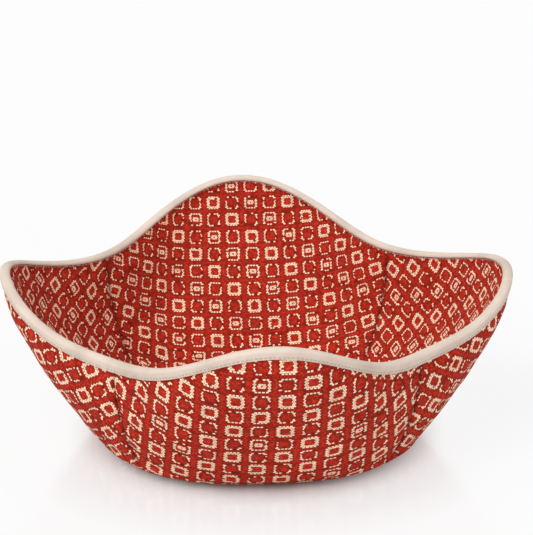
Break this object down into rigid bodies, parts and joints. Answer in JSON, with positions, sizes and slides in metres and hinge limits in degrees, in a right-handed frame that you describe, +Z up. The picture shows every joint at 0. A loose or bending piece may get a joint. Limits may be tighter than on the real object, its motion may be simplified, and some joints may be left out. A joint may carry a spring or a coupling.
{
  "type": "microwave bowl cozy",
  "caption": "Padded cloth cozy that sits under a hot soup bowl: rounded petal corners stand up between sewn darts, and a woven tape binds the edge.",
  "frame": {"origin": "centre of the underside, on the surface that the cozy rests on", "axes": "+Z up; the petals point along +X, -X, +Y and -Y, the dart seams lie midway between them; -Y is the front petal"},
  "size_m": [0.22, 0.22, 0.0816],
  "materials": {
    "printed_cotton": "matte woven cotton, brick red with cream motifs",
    "lining_cotton": "matte woven cotton, brick red with cream motifs",
    "wadding": "loose white cotton wadding",
    "woven_tape": "matte cream woven tape",
    "sewing_thread": "twisted cotton thread"
  },
  "bodies": {
    "root": {"outer_cover": "printed_cotton", "outer_wadding": "wadding", "lining_wadding": "wadding", "lining": "lining_cotton", "edge_binding": "woven_tape", "binding_needle_thread": "sewing_thread", "binding_bobbin_thread": "sewing_thread"}
  },
  "joints": []
}
